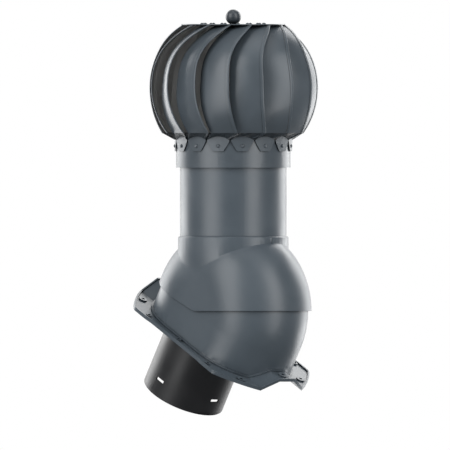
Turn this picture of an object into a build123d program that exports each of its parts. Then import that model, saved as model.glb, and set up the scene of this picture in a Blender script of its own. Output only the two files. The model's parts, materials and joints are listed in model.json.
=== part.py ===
"""Rotating chimney cowl: a turbine head on a vertical pipe, a tilting hood and a roof flange base.

Millimetres. The origin is the centre of the flange on the roof surface. +Z is up, along the pipe
and the turbine's axis, +X is down the slope and +Y is across it, along the hood's tilting axis.
"""
import os
from math import acos, asin, atan2, cos, degrees, radians, sin, sqrt
from build123d import *

os.makedirs("parts", exist_ok=True)

# Roof and flange
roof_pitch = 30
flange_half_length = 151.5
flange_half_width = 100
ear_half_width = 102
ear_start = 54
ear_arc_radius = 202
ear_arc_centre = (-27.5, -58)
ear_rounding = 13
flange_wall = 3
crest_rise = 18
crest_half_width = 15
crest_foot_half_width = 43.5
lip_height = 5.5
lip_wall = 2.6
foot_rim_height = 3.2
foot_rim_wall = 2.4

# Flange screw bosses
boss_radius = 6.5
side_boss_radius = 4.4
boss_height = 2.2
screw_hole_radius = 2.6
corner_boss_at = (120, 63)
side_boss_spacing = 72
side_boss_y = 92
end_boss_at = 139

# Domes, turned about the tilting axis
pivot_height = 53
dome_disc_radius = 46
base_dome_radius = 80
base_wall = 3
dome_gap = 2.5
hood_wall = 2.5
skirt_foot_radius = 84
skirt_foot_disc_radius = 40.5
mouth_front_angle = 16
mouth_back_angle = 139.2
hood_back_rim_angle = 24.5
hood_rim_rounding = 18

# Duct spigot and its seat
spigot_radius = 63
spigot_wall = 3
spigot_offset = -29
spigot_reach = 108.5
spigot_seat_radius = 64
spigot_collar_radius = 69
spigot_collar_height = 3
floor_height = 23
floor_wall = 3
socket_wall = 3
socket_depth = 18
seat_overhang = 2
socket_clearance = 0.3
spigot_slot_length = 16
spigot_slot_height = 4.8
spigot_slot_from_end = 25

# Pipe and its collar on the hood
pipe_radius = 80
pipe_wall = 3
pipe_length = 162
pipe_seat_height = 88
pipe_clearance = 0.25
collar_wall = 2.75
collar_top_height = 112
collar_chamfer = 1.6
ledge_wall = 3
ledge_radius = 74
ledge_bevel = 2.2
rib_width = 3
rib_depth = 1.4
rib_length = 11

# Tilting arms and studs
arm_width = 22
arm_wall = 4
arm_outer_y = 71
stud_radius = 6
stud_length = 4.6
stud_clearance = 0.08
stud_boss_wall = 3.5
stud_boss_length = 5.2

# Turbine head
vane_count = 15
sheet = 0.8
head_radius = 127
head_crown = 118
plate_rise = 93
plate_radius = 78
plate_sheet = 1.4
vane_mid_rise = 7.5
vane_corner_rise = 10.5
vane_corner_overhang = 20.6
vane_head_twist_power = 3.6
vane_corner_twist = 6.5
vane_corner_twist_power = 2.4
vane_corner_depth = 9
vane_mid_depth = 18
vane_head_depth = 19.5
hem_width = 5
hem_sheet = 0.7
vane_stations = 9

# Vane tabs and rivets
foot_crease_drop = 4.5
foot_arch = 6
foot_tab_length = 17
foot_tab_half_width = 9
foot_tab_rounding = 4
foot_rivet_drop = 9
foot_gap_angle = 0.6
head_root_start = 0.12
head_root_end = 0.74
head_trim = 3
head_tab_inner_radius = 40
head_tab_half_width = 6.5
head_rivet_radius = 47
rivet_radius = 1.5
rivet_head_radius = 2.8
rivet_head_height = 2.1
rivet_tail_height = 1
rivet_hole_clearance = 0.05
rivet_tail_gap = 0.12
rivet_tail_factor = 1.6

# Rotor ring
ring_radius = 86
ring_sheet = 1
ring_bottom = 215
ring_height = 46

# Bearing bracket in the pipe's mouth
spider_height = 220
spider_sheet = 3
spider_arm_width = 20
spider_hub_radius = 19
spider_foot_height = 26
spider_arm_count = 3
spider_first_azimuth = 90
spider_rivet_radius = 2
spider_rivet_spread = 12
spider_rivet_head_radius = 3.8
spider_rivet_head_height = 1.6

# Spindle, bearings and hub
spindle_radius = 6
journal_radius = 4
journal_chamfer = 0.5
journal_end = 5
thread_radius = 5
thread_length = 20
thread_chamfer = 0.8
nut_flats = 17
nut_height = 8
nut_rounding_radius = 9.35
bearing_radius = 11
bearing_width = 7
bearing_inner_rim = 6
bearing_outer_rim = 6.5
bearing_chamfer = 0.3
bearing_spacing = 13
fit_clearance = 0.02
circlip_thickness = 1.2
circlip_reach = 2
spindle_groove_depth = 0.5
hub_groove_depth = 0.7
hub_radius = 16
hub_length = 45
hub_mouth_depth = 5
hub_flange_radius = 30
hub_flange_thickness = 4
hub_relief_radius = 8.5
hub_crown_wall = 5

# Ball on top
ball_radius = 11.6
ball_sink = 1
ball_stud_radius = 4
ball_stud_length = 6.5

# Worked out
pitch_angle = 360 / vane_count
pitch_sine = sin(radians(roof_pitch))
pitch_cosine = cos(radians(roof_pitch))
roof = Plane(origin=(0, 0, 0), x_dir=(pitch_cosine, 0, -pitch_sine), z_dir=(pitch_sine, 0, pitch_cosine))
upright_start = roof.from_local_coords(Vector(0, 0, pivot_height))
upright = Plane(origin=upright_start, x_dir=(1, 0, 0), z_dir=(0, 0, 1))
tilt_section = Plane(origin=upright_start, x_dir=(1, 0, 0), z_dir=(0, -1, 0))
tilt_axis = Axis(upright_start, (0, 1, 0))
turn_axis = Axis(upright_start, (0, 0, 1))
hood_dome_radius = base_dome_radius + dome_gap + hood_wall
collar_bore = pipe_radius + pipe_clearance
collar_radius = collar_bore + collar_wall
beyond = 4 * flange_half_length
ring_top = ring_bottom + ring_height
foot_crease_height = ring_top - foot_crease_drop
foot_rivet_height = foot_crease_height - foot_rivet_drop
vane_corner_height = foot_crease_height + vane_corner_rise
first_rise = -degrees(acos((ring_radius + vane_corner_overhang) / head_radius))
head_height = vane_corner_height - head_radius * sin(radians(first_rise))
vane_mid_height = head_height + vane_mid_rise
plate_height = head_height + plate_rise
hub_bottom_height = plate_height - hub_length
spindle_shoulder_height = hub_bottom_height + hub_mouth_depth
lower_bearing_top = spindle_shoulder_height + bearing_width
upper_bearing_height = lower_bearing_top + bearing_spacing
upper_bearing_top = upper_bearing_height + bearing_width
journal_top_height = upper_bearing_top + journal_end


def finish(builder, name):
    """Label a finished piece and write its STEP file."""
    builder.part.label = name
    export_step(builder.part, f"parts/{name}.step")


def dome_sketch(radius):
    """Half of the dome's section in the plane of X and the tilting axis, to turn about that axis."""
    with BuildSketch(upright) as section:
        with Locations((dome_disc_radius, 0)):
            Circle(radius)
        with Locations((dome_disc_radius / 2, 0)):
            Rectangle(dome_disc_radius, 2 * radius)
        split(bisect_by=Plane.YZ)
    return section.sketch


def polar_plane(radius, azimuth, height):
    """Upright plane on the turning axis's polar grid, facing outwards, with its x across and y up."""
    turn = radians(azimuth)
    place = upright.from_local_coords(Vector(radius * cos(turn), radius * sin(turn), height))
    return Plane(origin=place, x_dir=(-sin(turn), cos(turn), 0), z_dir=(cos(turn), sin(turn), 0))


# Flange outline, made in one quarter and mirrored twice
ear_corner_x = ear_arc_centre[0] + sqrt(ear_arc_radius**2 - (ear_half_width - ear_arc_centre[1]) ** 2)
arc_start_angle = degrees(atan2(ear_half_width - ear_arc_centre[1], ear_corner_x - ear_arc_centre[0]))
arc_end_angle = degrees(asin((crest_foot_half_width - ear_arc_centre[1]) / ear_arc_radius))


def ear_arc_point(angle):
    """Point on the large arc that rounds the flange's corner."""
    turn = radians(angle)
    return (
        ear_arc_centre[0] + ear_arc_radius * cos(turn),
        ear_arc_centre[1] + ear_arc_radius * sin(turn),
    )


with BuildSketch(roof) as flange_outline:
    with BuildLine():
        Polyline(
            (0, 0),
            (0, flange_half_width),
            (ear_start, flange_half_width),
            (ear_corner_x - 2 * ear_rounding, ear_half_width),
            (ear_corner_x, ear_half_width),
        )
        ThreePointArc(
            (ear_corner_x, ear_half_width),
            ear_arc_point((arc_start_angle + arc_end_angle) / 2),
            ear_arc_point(arc_end_angle),
        )
        Polyline(
            ear_arc_point(arc_end_angle),
            (flange_half_length, crest_half_width),
            (flange_half_length, 0),
            (0, 0),
        )
    make_face()
    mirror(about=Plane.XZ)
    mirror(about=Plane.YZ)
    far_vertices = [v for v in flange_outline.vertices() if abs(v.X) > ear_corner_x - 1]
    ear_corners = [v for v in far_vertices if abs(v.Y) > ear_half_width - 1]
    fillet(ear_corners, ear_rounding)

with BuildSketch(roof) as lip_ring:
    add(flange_outline.sketch_local)
    offset(flange_outline.sketch_local, -lip_wall, kind=Kind.INTERSECTION, mode=Mode.SUBTRACT)

with BuildSketch(roof) as foot_rim_ring:
    SlotCenterToCenter(2 * skirt_foot_disc_radius, 2 * (skirt_foot_radius + foot_rim_wall))
    rim_hole_width = 2 * (skirt_foot_radius - foot_rim_wall)
    SlotCenterToCenter(2 * skirt_foot_disc_radius, rim_hole_width, mode=Mode.SUBTRACT)


def roof_band(outline, low, high):
    """The roof's trapezoid profile between two heights above it, trimmed to an outline from above."""
    across = Plane(origin=(0, 0, 0), x_dir=(0, 1, 0), z_dir=roof.x_dir)
    half = ear_half_width + flange_wall
    shape = [
        (-half, 0),
        (-crest_foot_half_width, 0),
        (-crest_half_width, crest_rise),
        (crest_half_width, crest_rise),
        (crest_foot_half_width, 0),
        (half, 0),
    ]
    upper = [(y, h + high) for y, h in shape]
    lower = [(y, h + low) for y, h in reversed(shape)]
    with BuildPart() as band:
        with BuildSketch(across):
            with BuildLine():
                Polyline(*upper, *lower, close=True)
            make_face()
        extrude(amount=beyond / 2, both=True)
        if outline is not None:
            extrude(outline, amount=beyond, both=True, mode=Mode.INTERSECT)
    return band.part


flange_sheet = roof_band(flange_outline.sketch, 0, flange_wall)
flange_lip = roof_band(lip_ring.sketch, 0, flange_wall + lip_height)
foot_rim = roof_band(foot_rim_ring.sketch, 0, flange_wall + foot_rim_height)
under_roof = roof_band(None, -beyond, 0)

base_dome = dome_sketch(base_dome_radius)
base_hollow = dome_sketch(base_dome_radius - base_wall)
hood_dome = dome_sketch(hood_dome_radius)
hood_hollow = dome_sketch(hood_dome_radius - hood_wall)

mouth_angle = (mouth_front_angle + mouth_back_angle) / 2
mouth_distance = (dome_disc_radius + base_dome_radius) * cos(
    radians((mouth_back_angle - mouth_front_angle) / 2)
)
mouth_normal = Vector(cos(radians(mouth_angle)), 0, sin(radians(mouth_angle)))
mouth = Plane(origin=upright_start + mouth_normal * mouth_distance, z_dir=mouth_normal)

corner_x, corner_y = corner_boss_at
corner_bosses = [(x, y) for x in (-corner_x, corner_x) for y in (-corner_y, corner_y)]
side_bosses = [(x * side_boss_spacing, y) for x in (-1, 0, 1) for y in (-side_boss_y, side_boss_y)]
end_bosses = [(-end_boss_at, 0), (end_boss_at, 0)]

# Base shell: dome, skirt and flange in one moulding
with BuildPart() as base_shell:
    revolve(base_dome, axis=tilt_axis)
    split(bisect_by=roof.offset(pivot_height), keep=Keep.TOP)
    split(bisect_by=mouth, keep=Keep.BOTTOM)
    with BuildSketch(roof.offset(pivot_height)):
        SlotCenterToCenter(2 * dome_disc_radius, 2 * base_dome_radius)
    with BuildSketch(roof):
        SlotCenterToCenter(2 * skirt_foot_disc_radius, 2 * skirt_foot_radius)
    loft()
    add(flange_sheet)
    add(flange_lip)
    add(foot_rim)
    with BuildSketch(roof):
        with Locations(*corner_bosses):
            Circle(boss_radius)
        with Locations(*side_bosses):
            Circle(side_boss_radius)
    extrude(amount=flange_wall + boss_height)
    with BuildSketch(roof.offset(crest_rise)):
        with Locations(*end_bosses):
            Circle(boss_radius)
    extrude(amount=flange_wall + boss_height)
    revolve(base_hollow, axis=tilt_axis, mode=Mode.SUBTRACT)
    with BuildSketch(roof.offset(pivot_height)):
        SlotCenterToCenter(2 * dome_disc_radius, 2 * (base_dome_radius - base_wall))
    with BuildSketch(roof):
        SlotCenterToCenter(2 * skirt_foot_disc_radius, 2 * (skirt_foot_radius - base_wall))
    loft(mode=Mode.SUBTRACT)
    add(under_roof, mode=Mode.SUBTRACT)
    with BuildSketch(roof):
        with Locations(*corner_bosses, *side_bosses, *end_bosses):
            Circle(screw_hole_radius)
    extrude(amount=crest_rise + flange_wall + boss_height, mode=Mode.SUBTRACT)
    with BuildSketch(roof.offset(floor_height)):
        SlotCenterToCenter(
            skirt_foot_disc_radius + dome_disc_radius,
            2 * base_dome_radius,
        )
    extrude(amount=floor_wall)
    with BuildSketch(roof.offset(floor_height + floor_wall)):
        with Locations((spigot_offset, 0)):
            Circle(spigot_seat_radius + socket_clearance + socket_wall)
    extrude(amount=-socket_depth)
    with BuildSketch(roof.offset(floor_height + floor_wall)):
        with Locations((spigot_offset, 0)):
            Circle(spigot_seat_radius + socket_clearance)
    extrude(amount=-socket_depth, mode=Mode.SUBTRACT)
    for side in (-1, 1):
        wall_middle = upright_start + Vector(0, side * (base_dome_radius - base_wall / 2), 0)
        wall_face = Plane(origin=wall_middle, z_dir=(0, -side, 0))
        with BuildSketch(wall_face):
            Circle(stud_radius + stud_clearance + stud_boss_wall)
        extrude(amount=base_wall / 2 + stud_boss_length)
        with BuildSketch(wall_face.offset(base_wall / 2)):
            Circle(stud_radius + stud_clearance)
        extrude(amount=stud_boss_length, mode=Mode.SUBTRACT)
finish(base_shell, "base_shell")

# Duct spigot, hung in the floor by its collar
spigot_top = floor_height + floor_wall + spigot_collar_height
with BuildPart() as duct_spigot:
    with BuildSketch(roof.offset(-spigot_reach)):
        with Locations((spigot_offset, 0)):
            Circle(spigot_radius)
    extrude(amount=spigot_reach + spigot_top)
    with BuildSketch(roof.offset(floor_height + floor_wall)):
        with Locations((spigot_offset, 0)):
            Circle(spigot_seat_radius)
    extrude(amount=-socket_depth - seat_overhang)
    with BuildSketch(roof.offset(floor_height + floor_wall)):
        with Locations((spigot_offset, 0)):
            Circle(spigot_collar_radius)
    extrude(amount=spigot_collar_height)
    with BuildSketch(roof.offset(-spigot_reach)):
        with Locations((spigot_offset, 0)):
            Circle(spigot_radius - spigot_wall)
    extrude(amount=spigot_reach + spigot_top, mode=Mode.SUBTRACT)
    slot_centre = roof.from_local_coords(Vector(spigot_offset, 0, spigot_slot_from_end - spigot_reach))
    for outward in (roof.x_dir, Vector(0, 1, 0)):
        with BuildSketch(Plane(origin=slot_centre, x_dir=roof.z_dir, z_dir=outward)):
            Rectangle(spigot_slot_height, spigot_slot_length)
        extrude(amount=spigot_radius + spigot_wall, both=True, mode=Mode.SUBTRACT)
finish(duct_spigot, "duct_spigot")

# Hood: upper dome, pipe collar, ledge and tilting arms in one moulding
with BuildPart() as hood:
    revolve(hood_dome, axis=tilt_axis)
    with BuildSketch(upright):
        Circle(collar_radius)
    extrude(amount=collar_top_height)
    collar_rim = hood.edges().filter_by(GeomType.CIRCLE).sort_by(Axis.Z)[-1]
    chamfer(collar_rim, collar_chamfer)
    revolve(hood_hollow, axis=tilt_axis, mode=Mode.SUBTRACT)
    with BuildSketch(upright.offset(pipe_seat_height - ledge_wall)):
        Circle(collar_radius - ledge_bevel)
    extrude(amount=ledge_bevel, taper=-45)
    with BuildSketch(upright.offset(pipe_seat_height - ledge_wall + ledge_bevel)):
        Circle(collar_radius)
    extrude(amount=dome_disc_radius / 2)
    with BuildSketch(upright.offset(pipe_seat_height)):
        Circle(collar_bore)
    extrude(amount=collar_top_height, mode=Mode.SUBTRACT)
    with BuildSketch(upright):
        Circle(ledge_radius)
    extrude(amount=collar_top_height, mode=Mode.SUBTRACT)
    with BuildSketch(tilt_section) as rim_cut:
        with BuildLine():
            rise = beyond * sin(radians(hood_back_rim_angle)) / cos(radians(hood_back_rim_angle))
            Polyline((beyond, 0), (0, 0), (-beyond, rise), (-beyond, -beyond), (beyond, -beyond), close=True)
        make_face()
        fillet(rim_cut.vertices().sort_by_distance((0, 0, 0))[0], hood_rim_rounding)
    extrude(amount=beyond, both=True, mode=Mode.SUBTRACT)
    for side in (-1, 1):
        arm_start = upright_start + Vector(0, side * arm_outer_y, 0)
        arm_face = Plane(origin=arm_start, x_dir=(1, 0, 0), z_dir=(0, side, 0))
        with BuildSketch(arm_face):
            Circle(arm_width / 2)
            with Locations((0, -side * pipe_seat_height / 2)):
                Rectangle(arm_width, pipe_seat_height)
        extrude(amount=-arm_wall)
        with BuildSketch(arm_face):
            with Locations((0, -side * (pipe_seat_height - ledge_wall / 2))):
                Rectangle(arm_width, ledge_wall)
        extrude(amount=ledge_radius + ledge_wall - arm_outer_y)
        with BuildSketch(arm_face):
            Circle(stud_radius)
        extrude(amount=stud_length)
    with BuildSketch(upright.offset(collar_top_height - collar_chamfer - rib_length)):
        with Locations((collar_radius + rib_depth / 2 - collar_wall / 4, 0)):
            Rectangle(rib_depth + collar_wall / 2, rib_width)
    extrude(amount=rib_length)
finish(hood, "hood")


def cylinder_at(plane, radius, height, hole=0):
    """Plain disc or tube on a plane, made apart from the sub-part blocks."""
    with BuildPart() as disc:
        with BuildSketch(plane):
            Circle(radius)
            if hole:
                Circle(hole, mode=Mode.SUBTRACT)
        extrude(amount=height)
    return disc.part


def rivet(plane, radius, head_radius, head_height, grip, tail_height):
    """Rivet with its domed head on a plane and its tail behind the grip."""
    dome_radius = (head_radius**2 + head_height**2) / (2 * head_height)
    with BuildPart() as shape:
        with BuildSketch(Plane(origin=plane.origin, x_dir=plane.x_dir, z_dir=-plane.y_dir)):
            with BuildLine():
                RadiusArc((head_radius, 0), (0, head_height), -dome_radius)
                Polyline(
                    (0, head_height),
                    (0, -grip - tail_height),
                    (radius * rivet_tail_factor, -grip - tail_height),
                    (radius * rivet_tail_factor, -grip),
                    (radius, -grip),
                    (radius, 0),
                    (head_radius, 0),
                )
            make_face()
        revolve(axis=Axis(plane.origin, plane.z_dir))
    return shape.part


# Outer pipe, holed for the bracket's rivets
pipe_top_height = pipe_seat_height + pipe_length
spider_step = 360 / spider_arm_count
spider_rivet_middle = spider_height + spider_sheet + spider_foot_height / 2
spider_rivet_places = [
    (spider_first_azimuth + arm * spider_step, spider_rivet_middle + row * spider_rivet_spread / 2)
    for arm in range(spider_arm_count)
    for row in (-1, 1)
]
with BuildPart() as outer_pipe:
    with BuildSketch(upright.offset(pipe_seat_height)):
        Circle(pipe_radius)
        Circle(pipe_radius - pipe_wall, mode=Mode.SUBTRACT)
    extrude(amount=pipe_length)
    for azimuth, height in spider_rivet_places:
        with BuildSketch(polar_plane(pipe_radius - 2 * pipe_wall, azimuth, height)):
            Circle(spider_rivet_radius + rivet_hole_clearance)
        extrude(amount=3 * pipe_wall, mode=Mode.SUBTRACT)
finish(outer_pipe, "outer_pipe")

# Three-arm bracket, with bent-up feet against the pipe's wall
spider_reach = pipe_radius - pipe_wall
with BuildPart() as bearing_spider:
    with BuildSketch(upright.offset(spider_height)):
        Circle(spider_reach)
        Circle(spider_reach - spider_sheet, mode=Mode.SUBTRACT)
    extrude(amount=spider_foot_height)
    with BuildSketch(upright.offset(spider_height)):
        Circle(spider_reach)
    extrude(amount=spider_sheet)
    with BuildSketch(upright.offset(spider_height)):
        with PolarLocations(spider_reach / 2, spider_arm_count, start_angle=spider_first_azimuth):
            Rectangle(spider_reach, spider_arm_width)
        Circle(spider_hub_radius)
    extrude(amount=spider_foot_height, mode=Mode.INTERSECT)
    with BuildSketch(upright.offset(spider_height)):
        Circle(thread_radius + fit_clearance)
    extrude(amount=spider_sheet, mode=Mode.SUBTRACT)
    for azimuth, height in spider_rivet_places:
        with BuildSketch(polar_plane(spider_reach - 2 * spider_sheet, azimuth, height)):
            Circle(spider_rivet_radius + rivet_hole_clearance)
        extrude(amount=3 * spider_sheet, mode=Mode.SUBTRACT)
finish(bearing_spider, "bearing_spider")

with BuildPart() as spider_rivets:
    for azimuth, height in spider_rivet_places:
        add(
            rivet(
                polar_plane(pipe_radius, azimuth, height),
                spider_rivet_radius,
                spider_rivet_head_radius,
                spider_rivet_head_height,
                pipe_wall + spider_sheet + rivet_tail_gap,
                rivet_tail_height,
            )
        )
finish(spider_rivets, "spider_rivets")

# Spindle: thread, body and bearing journal with a groove for its circlip
bracket_top = spider_height + spider_sheet
with BuildPart() as spindle:
    with BuildSketch(upright.offset(bracket_top - thread_length)):
        Circle(thread_radius)
    extrude(amount=thread_length)
    with BuildSketch(upright.offset(bracket_top)):
        Circle(spindle_radius)
    extrude(amount=spindle_shoulder_height - bracket_top)
    with BuildSketch(upright.offset(spindle_shoulder_height)):
        Circle(journal_radius)
    extrude(amount=journal_top_height - spindle_shoulder_height)
    chamfer(spindle.faces().sort_by(Axis.Z)[-1].edges(), journal_chamfer)
    chamfer(spindle.faces().sort_by(Axis.Z)[0].edges(), thread_chamfer)
    with BuildSketch(upright.offset(upper_bearing_top)):
        Circle(spindle_radius)
        Circle(journal_radius - spindle_groove_depth, mode=Mode.SUBTRACT)
    extrude(amount=circlip_thickness, mode=Mode.SUBTRACT)
finish(spindle, "spindle")

with BuildPart() as spindle_nut:
    with BuildSketch(upright.offset(spider_height)):
        RegularPolygon(nut_flats / 2, 6, major_radius=False)
        Circle(thread_radius + fit_clearance, mode=Mode.SUBTRACT)
    extrude(amount=-nut_height)
    with BuildSketch(upright.offset(spider_height - nut_height)):
        Circle(nut_rounding_radius)
    extrude(amount=nut_height, mode=Mode.INTERSECT)
finish(spindle_nut, "spindle_nut")

# Two sealed ball bearings, their spacers and clips
for name, height in (("lower_bearing", spindle_shoulder_height), ("upper_bearing", upper_bearing_height)):
    with BuildPart() as inner_ring:
        bore = journal_radius + fit_clearance
        add(cylinder_at(upright.offset(height), bearing_inner_rim, bearing_width, bore))
        chamfer(inner_ring.edges().filter_by(GeomType.CIRCLE).group_by(SortBy.RADIUS)[0], bearing_chamfer)
    finish(inner_ring, f"{name}_inner_ring")
    with BuildPart() as outer_ring:
        rim = bearing_radius - fit_clearance
        add(cylinder_at(upright.offset(height), rim, bearing_width, bearing_outer_rim))
        chamfer(outer_ring.edges().filter_by(GeomType.CIRCLE).group_by(SortBy.RADIUS)[-1], bearing_chamfer)
    finish(outer_ring, f"{name}_outer_ring")

with BuildPart() as spacer_sleeve:
    add(
        cylinder_at(
            upright.offset(lower_bearing_top),
            bearing_inner_rim - 2 * fit_clearance,
            bearing_spacing,
            journal_radius + fit_clearance,
        )
    )
finish(spacer_sleeve, "spacer_sleeve")

with BuildPart() as spacer_ring:
    add(
        cylinder_at(
            upright.offset(lower_bearing_top),
            bearing_radius - fit_clearance,
            bearing_spacing,
            hub_relief_radius,
        )
    )
finish(spacer_ring, "spacer_ring")

with BuildPart() as spindle_circlip:
    with BuildSketch(upright.offset(upper_bearing_top)):
        Circle(journal_radius + circlip_reach)
        Circle(journal_radius - spindle_groove_depth + fit_clearance, mode=Mode.SUBTRACT)
        with Locations((journal_radius + circlip_reach / 2, 0)):
            Rectangle(2 * circlip_reach, circlip_reach, mode=Mode.SUBTRACT)
    extrude(amount=circlip_thickness)
finish(spindle_circlip, "spindle_circlip")

with BuildPart() as hub_circlip:
    with BuildSketch(upright.offset(spindle_shoulder_height - circlip_thickness)):
        Circle(bearing_radius + hub_groove_depth - fit_clearance)
        Circle(bearing_radius - circlip_reach, mode=Mode.SUBTRACT)
        with Locations((bearing_radius, 0)):
            Rectangle(3 * circlip_reach, circlip_reach, mode=Mode.SUBTRACT)
    extrude(amount=circlip_thickness)
finish(hub_circlip, "hub_circlip")

# Bearing hub under the top plate
with BuildPart() as bearing_hub:
    with BuildSketch(upright.offset(hub_bottom_height)):
        Circle(hub_radius)
    extrude(amount=plate_height - hub_bottom_height)
    with BuildSketch(upright.offset(plate_height - hub_flange_thickness)):
        Circle(hub_flange_radius)
    extrude(amount=hub_flange_thickness)
    with BuildSketch(upright.offset(hub_bottom_height)):
        Circle(bearing_radius)
    extrude(amount=upper_bearing_top - hub_bottom_height, mode=Mode.SUBTRACT)
    with BuildSketch(upright.offset(upper_bearing_top)):
        Circle(hub_relief_radius)
    extrude(amount=plate_height - hub_crown_wall - upper_bearing_top, mode=Mode.SUBTRACT)
    with BuildSketch(upright.offset(upper_bearing_top)):
        Circle(ball_stud_radius + fit_clearance)
    extrude(amount=plate_height - upper_bearing_top, mode=Mode.SUBTRACT)
    with BuildSketch(upright.offset(spindle_shoulder_height - circlip_thickness)):
        Circle(bearing_radius + hub_groove_depth)
    extrude(amount=circlip_thickness, mode=Mode.SUBTRACT)
finish(bearing_hub, "bearing_hub")

# Ball on top, with its stud through the plate into the hub
plate_top = plate_height + plate_sheet
with BuildPart() as finial_ball:
    with BuildSketch(tilt_section):
        with Locations((0, plate_top + ball_radius - ball_sink)):
            Circle(ball_radius)
        split(bisect_by=Plane.YZ)
        with Locations((ball_radius, plate_top - ball_radius)):
            Rectangle(2 * ball_radius, 2 * ball_radius, mode=Mode.SUBTRACT)
        with Locations((ball_stud_radius / 2, plate_top - ball_stud_length / 2 + ball_sink / 2)):
            Rectangle(ball_stud_radius, ball_stud_length + ball_sink)
    revolve(axis=turn_axis)
finish(finial_ball, "finial_ball")

# Top plate and rotor ring
foot_tab_azimuth = -pitch_angle / 2
head_tab_azimuth = pitch_angle / 2
with BuildPart() as top_plate:
    with BuildSketch(upright.offset(plate_height)):
        Circle(plate_radius)
        Circle(ball_stud_radius + fit_clearance, mode=Mode.SUBTRACT)
        with PolarLocations(head_rivet_radius, vane_count, start_angle=head_tab_azimuth):
            Circle(rivet_radius + rivet_hole_clearance, mode=Mode.SUBTRACT)
    extrude(amount=plate_sheet)
finish(top_plate, "top_plate")

with BuildPart() as rotor_ring:
    with BuildSketch(upright.offset(ring_bottom)):
        Circle(ring_radius)
        Circle(ring_radius - ring_sheet, mode=Mode.SUBTRACT)
    extrude(amount=ring_top - ring_bottom)
    for vane in range(vane_count):
        azimuth = foot_tab_azimuth + vane * pitch_angle
        with BuildSketch(polar_plane(ring_radius - 2 * ring_sheet, azimuth, foot_rivet_height)):
            Circle(rivet_radius + rivet_hole_clearance)
        extrude(amount=3 * ring_sheet, mode=Mode.SUBTRACT)
finish(rotor_ring, "rotor_ring")

tab_face_radius = ring_radius + 2 * fit_clearance + sheet
with BuildPart() as ring_rivets:
    for vane in range(vane_count):
        add(
            rivet(
                polar_plane(tab_face_radius, foot_tab_azimuth + vane * pitch_angle, foot_rivet_height),
                rivet_radius,
                rivet_head_radius,
                rivet_head_height,
                sheet + 2 * fit_clearance + ring_sheet + rivet_tail_gap,
                rivet_tail_height,
            )
        )
finish(ring_rivets, "ring_rivets")

with BuildPart() as plate_rivets:
    for vane in range(vane_count):
        turn = radians(head_tab_azimuth + vane * pitch_angle)
        place = Vector(head_rivet_radius * cos(turn), head_rivet_radius * sin(turn), plate_top)
        add(
            rivet(
                Plane(origin=upright.from_local_coords(place), x_dir=(1, 0, 0), z_dir=(0, 0, 1)),
                rivet_radius,
                rivet_head_radius,
                rivet_head_height,
                sheet + plate_sheet,
                rivet_tail_height,
            )
        )
finish(plate_rivets, "plate_rivets")


def polar_point(radius, azimuth, height):
    """Point in the row's frame from a radius, an azimuth in degrees and a height over the pivot."""
    turn = radians(azimuth)
    return upright.from_local_coords(Vector(radius * cos(turn), radius * sin(turn), height))


def vane_twist(height):
    """How far a vane's outer edge leans round the axis at a height, in degrees."""
    if height > vane_mid_height:
        share = (height - vane_mid_height) / (plate_height - vane_mid_height)
        return pitch_angle * share**vane_head_twist_power
    share = (vane_mid_height - height) / (vane_mid_height - vane_corner_height)
    return vane_corner_twist * share**vane_corner_twist_power


def vane_depth(height):
    """How far a vane's inner edge lies inside its outer edge at a height."""
    if height > vane_mid_height:
        share = (height - vane_mid_height) / (plate_height - vane_mid_height)
        return vane_mid_depth + (vane_head_depth - vane_mid_depth) * share
    share = (vane_mid_height - height) / (vane_mid_height - vane_corner_height)
    return vane_mid_depth + (vane_corner_depth - vane_mid_depth) * share


def vane_edges(rise):
    """Inner and outer edge points at an angle up the head's outline, and the height there."""
    reach = head_crown if rise > 0 else head_radius
    height = head_height + reach * sin(radians(rise))
    outer_radius = head_radius * cos(radians(rise))
    outer = polar_point(outer_radius, vane_twist(height), height)
    inner = polar_point(outer_radius - vane_depth(height), vane_twist(height) - pitch_angle, height)
    return inner, outer


def vane_plane(rise):
    """Section plane across the vane at an angle up the head's outline, with x from inner to outer edge."""
    inner, outer = vane_edges(rise)
    inner_next, outer_next = vane_edges(rise + 1)
    along = (outer - inner).normalized()
    up = (inner_next + outer_next) - (inner + outer)
    up = up - along * up.dot(along)
    return Plane(origin=(inner + outer) / 2, x_dir=along, z_dir=up), (outer - inner).length


last_rise = degrees(asin((plate_height + head_trim - head_height) / head_crown))
foot_chord = polar_point(ring_radius, 0, 0) - polar_point(ring_radius, pitch_angle - foot_gap_angle, 0)
foot_half_chord = foot_chord.length / 2
foot_sag = ring_radius - sqrt(ring_radius**2 - foot_half_chord**2)

# Foot tab: a piece of the ring's outside, cut to the tab's outline
with BuildPart() as foot_tab:
    with BuildSketch(polar_plane(ring_radius / 2, foot_tab_azimuth, 0)) as tab_outline:
        with BuildLine():
            ThreePointArc(
                (-foot_half_chord, foot_crease_height),
                (0, foot_crease_height + foot_arch),
                (foot_half_chord, foot_crease_height),
            )
            Polyline(
                (foot_half_chord, foot_crease_height),
                (foot_tab_half_width, foot_crease_height - foot_tab_length),
                (-foot_tab_half_width, foot_crease_height - foot_tab_length),
                (-foot_half_chord, foot_crease_height),
            )
        make_face()
        fillet(tab_outline.vertices().group_by(Axis.Y)[0], foot_tab_rounding)
        with Locations((0, foot_rivet_height)):
            Circle(rivet_radius + rivet_hole_clearance, mode=Mode.SUBTRACT)
    extrude(amount=ring_radius)
    with BuildSketch(upright.offset(ring_bottom)):
        Circle(ring_radius + 2 * fit_clearance + sheet)
        Circle(ring_radius + 2 * fit_clearance, mode=Mode.SUBTRACT)
    extrude(amount=ring_top, mode=Mode.INTERSECT)

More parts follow.
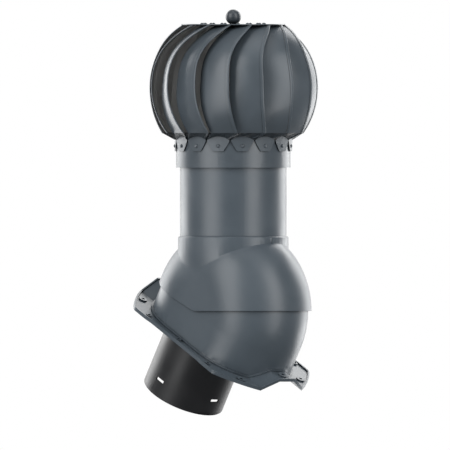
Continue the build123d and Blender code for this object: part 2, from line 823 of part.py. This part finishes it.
# Head tab: flat under the plate, inside the vane's head
head_inner, head_outer = vane_edges(degrees(asin((plate_height - head_height) / head_crown)))
with BuildPart() as head_tab:
    with BuildSketch(upright.offset(plate_height)) as head_outline:
        with BuildLine():
            first = upright.to_local_coords(head_inner + (head_outer - head_inner) * head_root_start)
            second = upright.to_local_coords(head_inner + (head_outer - head_inner) * head_root_end)
            tab_end = polar_point(head_tab_inner_radius, head_tab_azimuth, plate_height)
            middle = upright.to_local_coords(tab_end)
            across = Vector(-sin(radians(head_tab_azimuth)), cos(radians(head_tab_azimuth)), 0)
            Polyline(
                (first.X, first.Y),
                (second.X, second.Y),
                ((middle + across * head_tab_half_width).X, (middle + across * head_tab_half_width).Y),
                ((middle - across * head_tab_half_width).X, (middle - across * head_tab_half_width).Y),
                close=True,
            )
        make_face()
        with PolarLocations(head_rivet_radius, 1, start_angle=head_tab_azimuth):
            Circle(rivet_radius + rivet_hole_clearance, mode=Mode.SUBTRACT)
    extrude(amount=-sheet)

# One vane: a sheet of straight rulings bent up the head's outline, with a hem along its outer edge
with BuildPart() as vane_form:
    for station in range(vane_stations):
        rise = first_rise + (last_rise - first_rise) * station / (vane_stations - 1)
        section_plane, width = vane_plane(rise)
        with BuildSketch(section_plane):
            with BuildLine():
                Polyline(
                    (-width / 2, 0),
                    (width / 2 - hem_width, 0),
                    (width / 2 - hem_width, -hem_sheet),
                    (width / 2, -hem_sheet),
                    (width / 2, sheet),
                    (-width / 2, sheet),
                    close=True,
                )
            make_face()
    loft()
    split(bisect_by=upright.offset(plate_height), keep=Keep.BOTTOM)
    corner_plane, corner_width = vane_plane(first_rise)
    with BuildSketch(corner_plane):
        with BuildLine():
            Polyline(
                (-corner_width / 2, 0),
                (corner_width / 2, 0),
                (corner_width / 2, sheet),
                (-corner_width / 2, sheet),
                close=True,
            )
        make_face()
    seat_start = polar_point(ring_radius + sheet / 2, foot_tab_azimuth, foot_crease_height - sheet)
    outward = Vector(cos(radians(foot_tab_azimuth)), sin(radians(foot_tab_azimuth)), 0)
    seat_plane = Plane(
        origin=seat_start - outward * foot_sag,
        x_dir=(-sin(radians(foot_tab_azimuth)), cos(radians(foot_tab_azimuth)), 0),
        z_dir=Vector(0, 0, 1) * foot_sag - outward * foot_arch,
    )
    seat_rise = sqrt(foot_sag**2 + foot_arch**2)
    with BuildSketch(seat_plane):
        with BuildLine():
            ThreePointArc((-foot_half_chord, 0), (0, -seat_rise), (foot_half_chord, 0))
            Line((foot_half_chord, 0), (foot_half_chord, sheet))
            ThreePointArc((foot_half_chord, sheet), (0, sheet - seat_rise), (-foot_half_chord, sheet))
            Line((-foot_half_chord, sheet), (-foot_half_chord, 0))
        make_face()
    loft(ruled=True)
    add(foot_tab.part)
    add(head_tab.part)

for vane in range(vane_count):
    with BuildPart() as vane_copy:
        add(vane_form.part.rotate(turn_axis, vane * pitch_angle))
    finish(vane_copy, f"vane_{vane + 1:02d}")
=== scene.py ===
"""Looks of the rotating chimney cowl, in metres, in the row's frame."""

import json
from math import asin, atan2, cos, pi, radians, sin, sqrt

import bmesh
import bpy
from mathutils import Matrix, Vector


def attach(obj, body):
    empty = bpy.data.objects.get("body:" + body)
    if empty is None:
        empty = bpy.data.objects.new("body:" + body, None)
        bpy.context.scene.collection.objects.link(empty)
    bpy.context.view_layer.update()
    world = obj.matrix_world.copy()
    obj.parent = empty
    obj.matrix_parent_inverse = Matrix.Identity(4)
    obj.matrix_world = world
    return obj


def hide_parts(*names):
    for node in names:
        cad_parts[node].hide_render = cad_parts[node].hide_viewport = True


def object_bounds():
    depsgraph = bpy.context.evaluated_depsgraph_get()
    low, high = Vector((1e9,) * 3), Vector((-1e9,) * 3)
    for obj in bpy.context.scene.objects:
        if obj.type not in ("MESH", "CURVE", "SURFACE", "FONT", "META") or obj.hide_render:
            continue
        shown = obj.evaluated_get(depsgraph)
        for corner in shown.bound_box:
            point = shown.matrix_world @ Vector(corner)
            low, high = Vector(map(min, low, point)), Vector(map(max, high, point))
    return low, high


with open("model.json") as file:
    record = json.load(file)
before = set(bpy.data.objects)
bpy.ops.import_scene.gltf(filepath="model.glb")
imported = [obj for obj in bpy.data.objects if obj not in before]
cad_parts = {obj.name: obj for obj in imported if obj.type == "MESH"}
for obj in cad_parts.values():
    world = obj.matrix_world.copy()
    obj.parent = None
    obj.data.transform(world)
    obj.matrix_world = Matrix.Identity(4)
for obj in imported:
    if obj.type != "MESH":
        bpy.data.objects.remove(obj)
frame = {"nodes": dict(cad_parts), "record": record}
cad_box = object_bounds()

MM = 0.001
UP = Vector((0, 0, 1))
roof_pitch = radians(30)
roof_normal = Vector((sin(roof_pitch), 0, cos(roof_pitch)))
down_slope = Vector((cos(roof_pitch), 0, -sin(roof_pitch)))
pivot = roof_normal * 53 * MM


# Shared effects
grain_scale = 900.0
grain_detail = 2.0
mottle_scale = 14.0
mottle_detail = 3.0
mottle_low = 0.4
mottle_high = 0.6


def new_group(name, inputs, outputs):
    """Shader node group with named float sockets, and its input and output nodes."""
    group = bpy.data.node_groups.new(name, "ShaderNodeTree")
    for label, value in inputs:
        socket = group.interface.new_socket(label, in_out="INPUT", socket_type="NodeSocketFloat")
        socket.default_value = value
    for label in outputs:
        group.interface.new_socket(label, in_out="OUTPUT", socket_type="NodeSocketFloat")
    return group, group.nodes.new("NodeGroupInput"), group.nodes.new("NodeGroupOutput")


def fine_grain_group():
    """Moulded or coated surface: a fine grain, and a broad soft mottle for colour and roughness."""
    inputs = [
        ("Grain Scale", grain_scale), ("Mottle Scale", mottle_scale),
        ("Mottle Low", mottle_low), ("Mottle High", mottle_high),
    ]
    group, given, made = new_group("fine_grain", inputs, ["Grain", "Mottle"])
    link = group.links.new
    place = group.nodes.new("ShaderNodeTexCoord")
    grain = group.nodes.new("ShaderNodeTexNoise")
    grain.inputs["Detail"].default_value = grain_detail
    link(place.outputs["Object"], grain.inputs["Vector"])
    link(given.outputs["Grain Scale"], grain.inputs["Scale"])
    link(grain.outputs["Fac"], made.inputs["Grain"])
    mottle = group.nodes.new("ShaderNodeTexNoise")
    mottle.inputs["Detail"].default_value = mottle_detail
    link(place.outputs["Object"], mottle.inputs["Vector"])
    link(given.outputs["Mottle Scale"], mottle.inputs["Scale"])
    spread = group.nodes.new("ShaderNodeMapRange")
    link(mottle.outputs["Fac"], spread.inputs["Value"])
    link(given.outputs["Mottle Low"], spread.inputs["From Min"])
    link(given.outputs["Mottle High"], spread.inputs["From Max"])
    link(spread.outputs["Result"], made.inputs["Mottle"])
    return group


fine_grain = fine_grain_group()


def remap(tree, value, low, high, value_low=0.0, value_high=1.0):
    """Output that runs from low to high while the value runs over its range."""
    node = tree.nodes.new("ShaderNodeMapRange")
    node.inputs["From Min"].default_value = value_low
    node.inputs["From Max"].default_value = value_high
    node.inputs["To Min"].default_value = low
    node.inputs["To Max"].default_value = high
    tree.links.new(value, node.inputs["Value"])
    return node.outputs["Result"]


def colour_mix(tree, blend="MIX"):
    """Colour mixing node."""
    node = tree.nodes.new("ShaderNodeMix")
    node.data_type = "RGBA"
    node.blend_type = blend
    return node


# Materials
# Painted shade: ambient occlusion darkens the base colour and lowers the specular level in crevices, under
# rims and between parts
painted_shade_reach = 8 * MM
painted_shade_samples = 8
painted_shade_range = (0.25, 0.85)
painted_shade_tone = 0.22
painted_shade_shine = 0.15
grain_depth = 0.2 * MM
# Attribute marking the sheet faces that get painted light
sheet_back_mark = "sheet_back"


def surface(name, dark, light, rough_low, rough_high, metallic=0.0, bump=0.02, shine=0.5, back=None):
    """Material whose colour and roughness drift softly over the piece, with painted shade (colour and
    specular turned down by ambient occlusion) in its crevices, a fine grain on its normal and, where the mesh
    marks a sheet's back, a lighter grey as painted light."""
    material = bpy.data.materials.new(name)
    material.use_nodes = True
    tree = material.node_tree
    nodes = tree.nodes
    link = tree.links.new
    shader = nodes["Principled BSDF"]
    shader.inputs["Metallic"].default_value = metallic
    effect = nodes.new("ShaderNodeGroup")
    effect.node_tree = fine_grain
    tone = colour_mix(tree)
    tone.inputs["A"].default_value = (*dark, 1)
    tone.inputs["B"].default_value = (*light, 1)
    link(effect.outputs["Mottle"], tone.inputs["Factor"])
    colour = tone.outputs["Result"]
    # Painted light: a lighter colour on the faces marked as the sheet's back
    if back:
        marked = nodes.new("ShaderNodeAttribute")
        marked.attribute_name = sheet_back_mark
        back_lightened = colour_mix(tree)
        back_lightened.inputs["B"].default_value = (*back, 1)
        link(marked.outputs["Fac"], back_lightened.inputs["Factor"])
        link(colour, back_lightened.inputs["A"])
        colour = back_lightened.outputs["Result"]
    # Painted shade: colour and specular turned down where nearby surfaces occlude this point
    near = nodes.new("ShaderNodeAmbientOcclusion")
    near.samples = painted_shade_samples
    near.inputs["Distance"].default_value = painted_shade_reach
    shaded = colour_mix(tree, "MULTIPLY")
    shaded.inputs["Factor"].default_value = 1.0
    link(colour, shaded.inputs["A"])
    link(remap(tree, near.outputs["AO"], painted_shade_tone, 1.0, *painted_shade_range), shaded.inputs["B"])
    link(shaded.outputs["Result"], shader.inputs["Base Color"])
    dulled = remap(tree, near.outputs["AO"], painted_shade_shine, shine, *painted_shade_range)
    link(dulled, shader.inputs["Specular IOR Level"])
    link(remap(tree, effect.outputs["Mottle"], rough_low, rough_high), shader.inputs["Roughness"])
    relief = nodes.new("ShaderNodeBump")
    relief.inputs["Strength"].default_value = bump
    relief.inputs["Distance"].default_value = grain_depth
    link(effect.outputs["Grain"], relief.inputs["Height"])
    link(relief.outputs["Normal"], shader.inputs["Normal"])
    return material


# Painted light: lighter grey for the vane sheets' faces turned towards the axis, standing in for light on
# their shaded inner sides
back_painted_light_grey = (0.24, 0.24, 0.235)
moulding = surface("grey_moulding", (0.055, 0.069, 0.082), (0.060, 0.075, 0.089), 0.33, 0.40, bump=0.05)
coated = surface(
    "coated_sheet", (0.052, 0.064, 0.075), (0.060, 0.074, 0.087), 0.30, 0.38, bump=0.03, back=back_painted_light_grey
)
ball_coat = surface("coated_ball", (0.035, 0.042, 0.05), (0.038, 0.046, 0.054), 0.36, 0.42)
black = surface("black_duct", (0.010, 0.010, 0.011), (0.013, 0.013, 0.014), 0.36, 0.44, bump=0.03, shine=0.35)
zinc = surface("zinc_steel", (0.50, 0.51, 0.52), (0.58, 0.59, 0.60), 0.32, 0.45, metallic=1.0)
ground_steel = surface("bearing_steel", (0.45, 0.45, 0.46), (0.52, 0.52, 0.53), 0.18, 0.26, metallic=1.0)

finishes = {
    "grey_moulding": moulding, "coated_sheet": coated, "coated_rivet": coated, "coated_ball": ball_coat,
    "black_duct": black, "zinc_steel": zinc, "bearing_steel": ground_steel,
}
slot_of = {part["node"]: part["material_slot"] for part in frame["record"]["subparts"]}
body_of = {node: body for body, nodes in frame["record"]["behaviour"]["bodies"].items() for node in nodes}

for node, shown in frame["nodes"].items():
    shown.data.materials.clear()
    shown.data.materials.append(finishes[slot_of[node]])


# Making pieces
merge_distance = 0.002 * MM
flat_angle = radians(0.1)
edge_segments = 2


def take_place(work, node, ending, smooth_angle, edge=0.0):
    """Finished object from a bmesh in a CAD node's place, shaded smooth below an angle in degrees, with
    edges softened by a width in mm, on the node's body and slot."""
    name = node + ending
    mesh = bpy.data.meshes.new(name)
    work.to_mesh(mesh)
    work.free()
    for face in mesh.polygons:
        face.use_smooth = True
    mesh.set_sharp_from_angle(angle=radians(smooth_angle))
    made = bpy.data.objects.new(name, mesh)
    bpy.context.scene.collection.objects.link(made)
    mesh.materials.append(finishes[slot_of[node]])
    if edge:
        soften = made.modifiers.new("edge", "BEVEL")
        soften.width = edge * MM
        soften.segments = edge_segments
        soften.limit_method = "ANGLE"
        soften.angle_limit = radians(smooth_angle)
        soften.harden_normals = True
    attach(made, body_of[node])
    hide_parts(node)
    return made


def shell_copy(node, join_flat=True):
    """Merged copy of a CAD node's mesh, with its flat areas joined up if asked."""
    work = bmesh.new()
    work.from_mesh(frame["nodes"][node].data)
    bmesh.ops.remove_doubles(work, verts=work.verts, dist=merge_distance)
    if join_flat:
        bmesh.ops.dissolve_limit(work, angle_limit=flat_angle, verts=work.verts, edges=work.edges)
    return work


# Pieces whose CAD shape is right: smooth shaded copies with softened edges, widths in mm
shell_smooth_angle = 30
small_smooth_angle = 40
softened_edges = {
    "base_shell": 0.5, "hood": 0.5, "outer_pipe": 0.4, "duct_spigot": 0.5, "rotor_ring": 0.15,
    "top_plate": 0.3, "bearing_hub": 0.4, "bearing_spider": 0.4, "spindle": 0.2,
}
lip_top = 8.5 * MM
lip_top_tolerance = 0.3 * MM
lip_drop = 3.4 * MM
lip_from_skirt = 5 * MM
crest_rise = 18 * MM
crest_half_width = 15 * MM
crest_foot_half_width = 43.5 * MM
skirt_disc = 40.5 * MM
skirt_radius = 84 * MM


def crest_height(y):
    """Height of the roof's profile over its pan at a distance from the crest's middle."""
    share = (crest_foot_half_width - abs(y)) / (crest_foot_half_width - crest_half_width)
    return crest_rise * min(1, max(0, share))


def lower_lip(work):
    """Let the flange's outer lip down to the low rounded edge that it has in the photograph."""
    for vert in work.verts:
        rise = vert.co.dot(roof_normal) - crest_height(vert.co.y)
        along = vert.co.dot(down_slope)
        from_skirt = Vector((max(0, abs(along) - skirt_disc), vert.co.y)).length - skirt_radius
        if abs(rise - lip_top) < lip_top_tolerance and from_skirt > lip_from_skirt:
            vert.co -= roof_normal * lip_drop


for node, edge in softened_edges.items():
    work = shell_copy(node)
    if node == "base_shell":
        lower_lip(work)
    take_place(work, node, "_skin", shell_smooth_angle, edge)

rivet_head_foot = 86.5 * MM
rivet_push = 0.9 * MM


def push_rivets_out(work):
    """Move the ring rivets' heads outwards, so that they stand over the raised foot tabs."""
    for vert in work.verts:
        outward = Vector((vert.co.x - pivot.x, vert.co.y - pivot.y, 0))
        if outward.length > rivet_head_foot:
            vert.co += outward.normalized() * rivet_push


for node in ("ring_rivets", "plate_rivets", "spider_rivets", "finial_ball"):
    work = shell_copy(node, join_flat=False)
    if node == "ring_rivets":
        push_rivets_out(work)
    take_place(work, node, "_skin", small_smooth_angle)


# Vanes: a bulged sheet with a rolled hem, an arched fold and a rounded foot tab, on the CAD vane's head tab.
# Heights are measured from the tilting axis.
vane_count = 15
pitch_angle = 2 * pi / vane_count
head_radius = 127 * MM
head_crown = 118 * MM
corner_radius = 106.6 * MM
corner_height = 267 * MM
middle_rise = 7.5 * MM
plate_rise = 93 * MM
head_trim = 3 * MM
vane_depth = 18 * MM
plate_depth_gain = 1.5 * MM
corner_depth_loss = 9 * MM
head_twist_power = 3.6
foot_twist_power = 2.4
foot_twist = radians(6.5)
sheet = 0.8 * MM
head_tab_depth = sheet * 1.02
hem_width = 5 * MM
hem_rise = 0.75 * MM
bulge = 3.2 * MM
bulge_power = 0.7
bulge_end = 0.98
bulge_reach = 1.02
vane_smooth_angle = 32
vane_stations = 36
bulge_steps = 12
slope_step = radians(1)
seam_distance = 0.001 * MM
first_rise = -atan2(sqrt(head_radius**2 - corner_radius**2), corner_radius)
head_height = corner_height - head_radius * sin(first_rise)
middle_height = head_height + middle_rise
plate_height = head_height + plate_rise
last_rise = asin((plate_height + head_trim - head_height) / head_crown)


def head_point(radius, azimuth, height):
    """Point round the turning axis."""
    return pivot + Vector((radius * cos(azimuth), radius * sin(azimuth), height))


def vane_edges(rise):
    """Inner and outer edge of the vane at an angle up the head's outline."""
    height = head_height + (head_crown if rise > 0 else head_radius) * sin(rise)
    outer_radius = head_radius * cos(rise)
    if height > middle_height:
        share = (height - middle_height) / (plate_height - middle_height)
        twist = pitch_angle * share**head_twist_power
        depth = vane_depth + plate_depth_gain * share
    else:
        share = (middle_height - height) / (middle_height - corner_height)
        twist = foot_twist * share**foot_twist_power
        depth = vane_depth - corner_depth_loss * share
    inner = head_point(outer_radius - depth, twist - pitch_angle, height)
    return inner, head_point(outer_radius, twist, height)


def vane_outline(width, crown):
    """Closed outline across the vane: its outer face with the hem, the rolled edge and its inner face. The
    numbers in mm place the points of the two rolled edges."""
    half = width / 2

    def face(x):
        return -crown * (1 - (x / half) ** 2)

    hem_start = half - hem_width
    outline = [(-half, sheet * 0.5), (-half + 0.15 * MM, 0.05 * MM)]
    for step in range(bulge_steps + 1):
        x = -half + 0.5 * MM + (hem_start - 0.4 * MM + half) * step / bulge_steps
        outline.append((x, face(x)))
    groove = face(hem_start)
    outline += [
        (hem_start + 0.14 * MM, groove + 0.02 * MM),
        (hem_start + 0.16 * MM, groove - hem_rise * 0.7),
        (hem_start + 0.4 * MM, groove - hem_rise),
        (half - 2.6 * MM, face(half - 2.6 * MM) - hem_rise * 1.05),
        (half - 0.9 * MM, face(half - 0.9 * MM) - hem_rise),
        (half - 0.25 * MM, -hem_rise * 0.7),
        (half, 0.0),
        (half - 0.25 * MM, sheet * 0.75),
        (half - 0.9 * MM, face(half - 0.9 * MM) + sheet),
    ]
    for step in range(bulge_steps + 1):
        x = half - 1.6 * MM - (width - 2.2 * MM) * step / bulge_steps
        outline.append((x, face(x) + sheet))
    return outline + [outline[0]]


def vane_blade():
    """The sheet between the head's corner and its top plate, wrapped from a flat grid."""
    across = len(vane_outline(vane_depth, 0)) - 1
    work = bmesh.new()
    bmesh.ops.create_grid(work, x_segments=across, y_segments=vane_stations, size=0.5)
    for vert in work.verts:
        share = vert.co.y + 0.5
        column = round((vert.co.x + 0.5) * across)
        rise = first_rise + (last_rise - first_rise) * share
        inner, outer = vane_edges(rise)
        inner_next, outer_next = vane_edges(rise + slope_step)
        chord = outer - inner
        along = chord.normalized()
        up = (inner_next + outer_next) - (inner + outer)
        up = (up - along * up.dot(along)).normalized()
        crown = 0
        if 0 < share < bulge_end:
            crown = bulge * sin(pi * min(1, share * bulge_reach)) ** bulge_power
        x, y = vane_outline(chord.length, crown)[column]
        vert.co = (inner + outer) / 2 + along * x + up.cross(along) * y
    bmesh.ops.remove_doubles(work, verts=work.verts, dist=seam_distance)
    bmesh.ops.recalc_face_normals(work, faces=work.faces)
    whole = work.verts[:] + work.edges[:] + work.faces[:]
    bmesh.ops.bisect_plane(
        work, geom=whole, plane_co=pivot + UP * plate_height, plane_no=UP, clear_outer=True
    )
    return work


# Half of the foot tab's outline in mm, from the middle of its lower end up to the top of its arched crease
foot_half_outline = [
    (0, 239.5), (6.0, 239.5), (7.6, 239.9), (8.9, 240.9), (9.9, 242.3), (13.4, 248.0), (15.6, 251.8),
    (16.7, 253.8), (17.2, 255.6), (17.2, 256.5), (12.9, 258.8), (8.6, 260.5), (4.3, 261.5), (0, 261.8),
]
ring_radius = 86 * MM
foot_half_width = 17.2 * MM
foot_gap = 0.3 * MM
foot_flare = 0.9 * MM
foot_low = 239.5 * MM
crease_height = 256.5 * MM
crease_arch = 5.3 * MM
fold_columns = 16
tab_azimuth = -pitch_angle / 2
tab_out = Vector((cos(tab_azimuth), sin(tab_azimuth), 0))
tab_across = Vector((-sin(tab_azimuth), cos(tab_azimuth), 0))


def add_foot_tab(work):
    """Flat rounded foot tab, tangent to the ring and a little proud of it at its lower end."""
    right = [(side * MM, height * MM) for side, height in foot_half_outline]
    outline = right + [(-side, height) for side, height in reversed(right[1:-1])]
    layers = []
    for out in (foot_gap, foot_gap + sheet):
        layer = []
        for side, height in outline:
            flare = foot_flare * (max(0, crease_height - height) / (crease_height - foot_low)) ** 2
            spot = pivot + tab_out * (ring_radius + out + flare) + tab_across * side + UP * height
            layer.append(work.verts.new(spot))
        layers.append(layer)
    inner, outer = layers
    work.faces.new(outer)
    work.faces.new(list(reversed(inner)))
    for here in range(len(outline)):
        following = (here + 1) % len(outline)
        work.faces.new((inner[here], inner[following], outer[following], outer[here]))


def add_fold(work):
    """Sheet from the arched crease over the foot tab out to the blade's lower edge."""
    inner, outer = vane_edges(first_rise)
    creased = []
    raised = []
    for column in range(fold_columns + 1):
        share = column / fold_columns
        side = 2 * share - 1
        height = crease_height + crease_arch * (1 - side**2)
        crease = tab_out * (ring_radius + foot_gap + sheet) + tab_across * side * foot_half_width
        creased.append(work.verts.new(pivot + crease + UP * height))
        raised.append(work.verts.new(inner.lerp(outer, share)))
    faces = []
    for low, low_next, high, high_next in zip(creased, creased[1:], raised, raised[1:]):
        faces.append(work.faces.new((low, low_next, high_next, high)))
    bmesh.ops.solidify(work, geom=faces, thickness=sheet)


def mark_sheet_back(made):
    """Mark the faces that look towards the turning axis, which get a lighter grey as painted light."""
    mark = made.data.attributes.new(sheet_back_mark, "FLOAT", "FACE")
    for face in made.data.polygons:
        from_axis = face.center - pivot
        mark.data[face.index].value = float(face.normal.x * from_axis.x + face.normal.y * from_axis.y < 0)


tabs = shell_copy("vane_01", join_flat=False)
head_limit = pivot.z + plate_height - head_tab_depth
left_out = [face for face in tabs.faces if min(vert.co.z for vert in face.verts) < head_limit]
bmesh.ops.delete(tabs, geom=left_out, context="FACES")
add_foot_tab(tabs)
add_fold(tabs)
bmesh.ops.recalc_face_normals(tabs, faces=tabs.faces)
vane_mesh = bpy.data.meshes.new("vane")
blade = vane_blade()
blade.to_mesh(vane_mesh)
blade.free()
tabs.from_mesh(vane_mesh)
bmesh.ops.triangulate(tabs, faces=[face for face in tabs.faces if len(face.verts) > 4])
tabs.to_mesh(vane_mesh)
tabs.free()
for vane in range(vane_count):
    work = bmesh.new()
    work.from_mesh(vane_mesh)
    spin = Matrix.Rotation(vane * pitch_angle, 4, "Z")
    turn = Matrix.Translation(pivot) @ spin @ Matrix.Translation(-pivot)
    bmesh.ops.transform(work, matrix=turn, verts=work.verts)
    mark_sheet_back(take_place(work, f"vane_{vane + 1:02d}", "_sheet", vane_smooth_angle))


# Stage: backdrop, floor and world
camera_azimuth = radians(45)
towards_camera = Vector((sin(camera_azimuth), -cos(camera_azimuth), 0))
camera_target = Vector((17.7, -8.8, 174.9)) * MM
camera_distance = 2
camera_width = 0.675
backdrop_distance = 2.4
backdrop_size = (3.6, 6.0)
backdrop_glow = 1.0
backdrop_mirrored_glow = 1.7
backdrop_white = (0.8, 0.8, 0.8, 1)
backdrop_roughness = 0.9
floor_gap = 0.5 * MM
floor_size = (2.4, 2.4)
floor_seen_white = 0.86
floor_bounced_white = 0.1
floor_roughness = 0.85
room_grey = (0.60, 0.63, 0.66, 1)
room_strength = 0.4


def switch_by_ray(tree, rays, usual, special, ending):
    """Give the surface of a tree one shader for the two kinds of ray named and another for all the rest."""
    path = tree.nodes.new("ShaderNodeLightPath")
    seen = tree.nodes.new("ShaderNodeMath")
    seen.operation = "MAXIMUM"
    mix = tree.nodes.new("ShaderNodeMixShader")
    for place, ray in enumerate(rays):
        tree.links.new(path.outputs[ray], seen.inputs[place])
    tree.links.new(seen.outputs[0], mix.inputs[0])
    tree.links.new(usual.outputs[0], mix.inputs[1])
    tree.links.new(special.outputs[0], mix.inputs[2])
    tree.links.new(mix.outputs[0], tree.nodes[ending].inputs["Surface"])


def backdrop_paint():
    """Matt white that shows as plain white to the camera and brighter in reflections."""
    material = bpy.data.materials.new("backdrop_white")
    material.use_nodes = True
    tree = material.node_tree
    matt = tree.nodes["Principled BSDF"]
    matt.inputs["Base Color"].default_value = backdrop_white
    matt.inputs["Roughness"].default_value = backdrop_roughness
    glow = tree.nodes.new("ShaderNodeEmission")
    path = tree.nodes.new("ShaderNodeLightPath")
    level = remap(tree, path.outputs["Is Glossy Ray"], backdrop_glow, backdrop_mirrored_glow)
    tree.links.new(level, glow.inputs["Strength"])
    switch_by_ray(tree, ("Is Camera Ray", "Is Glossy Ray"), matt, glow, "Material Output")
    return material


def floor_paint():
    """Pale floor that gives little light back upwards and lets the lamps through from below."""
    material = bpy.data.materials.new("pale_floor")
    material.use_nodes = True
    tree = material.node_tree
    matt = tree.nodes["Principled BSDF"]
    matt.inputs["Roughness"].default_value = floor_roughness
    path = tree.nodes.new("ShaderNodeLightPath")
    level = remap(tree, path.outputs["Is Camera Ray"], floor_bounced_white, floor_seen_white)
    tree.links.new(level, matt.inputs["Base Color"])
    clear = tree.nodes.new("ShaderNodeBsdfTransparent")
    switch_by_ray(tree, ("Is Shadow Ray", "Is Glossy Ray"), matt, clear, "Material Output")
    return material


def stage_plane(name, place, turn, size, material):
    """Flat plane of the stage at a place, turned and sized."""
    work = bmesh.new()
    bmesh.ops.create_grid(work, x_segments=1, y_segments=1, size=0.5)
    fitted = Matrix.Translation(place) @ turn @ Matrix.Diagonal((size[0], size[1], 1, 1))
    bmesh.ops.transform(work, matrix=fitted, verts=work.verts)
    mesh = bpy.data.meshes.new(name)
    work.to_mesh(mesh)
    work.free()
    made = bpy.data.objects.new(name, mesh)
    bpy.context.scene.collection.objects.link(made)
    mesh.materials.append(material)


backdrop_place = camera_target - towards_camera * backdrop_distance
backdrop_turn = (-towards_camera).to_track_quat("Z", "Y").to_matrix().to_4x4()
stage_plane("backdrop", backdrop_place, backdrop_turn, backdrop_size, backdrop_paint())
floor_place = UP * (cad_box[0].z - floor_gap)
stage_plane("floor", floor_place, Matrix.Identity(4), floor_size, floor_paint())

world = bpy.data.worlds.new("studio")
bpy.context.scene.world = world
world.use_nodes = True
room = world.node_tree.nodes["Background"]
room.inputs["Color"].default_value = room_grey
room.inputs["Strength"].default_value = room_strength
white = world.node_tree.nodes.new("ShaderNodeBackground")
white.inputs["Color"].default_value = (1, 1, 1, 1)
switch_by_ray(world.node_tree, ("Is Camera Ray", "Is Transmission Ray"), room, white, "World Output")


# Lamps: name, degrees round from the camera, height over the target, distance, width, length, power in watts
soft_boxes = [
    ("left_box", -48, 0.55, 2.2, 1.4, 4.0, 66),
    ("right_box", 44, 0.55, 2.2, 1.1, 4.0, 54),
    ("left_rim", -132, 0.2, 2.2, 1.2, 2.4, 40),
    ("right_rim", 132, 0.2, 2.2, 1.2, 2.4, 40),
    ("top_box", 0, 2.3, 0.3, 1.4, 1.4, 8),
    ("back_top", 162, 1.7, 2.2, 1.8, 1.4, 22),
]


def soft_box(name, azimuth, height, distance, width, length, power):
    """Area lamp aimed at the middle of the object."""
    turn = camera_azimuth + radians(azimuth)
    lamp = bpy.data.lights.new(name, "AREA")
    lamp.shape = "RECTANGLE"
    lamp.size = width
    lamp.size_y = length
    lamp.energy = power
    made = bpy.data.objects.new(name, lamp)
    bpy.context.scene.collection.objects.link(made)
    made.location = camera_target + Vector((sin(turn), -cos(turn), 0)) * distance + UP * height
    made.rotation_mode = "QUATERNION"
    made.rotation_quaternion = (camera_target - made.location).to_track_quat("-Z", "Y")


for lamp_values in soft_boxes:
    soft_box(*lamp_values)

camera = bpy.data.cameras.new("camera")
camera.type = "ORTHO"
camera.ortho_scale = camera_width
viewer = bpy.data.objects.new("camera", camera)
bpy.context.scene.collection.objects.link(viewer)
viewer.location = camera_target + towards_camera * camera_distance
viewer.rotation_mode = "QUATERNION"
viewer.rotation_quaternion = (-towards_camera).to_track_quat("-Z", "Y")
bpy.context.scene.camera = viewer
bpy.context.scene.view_settings.view_transform = "Standard"
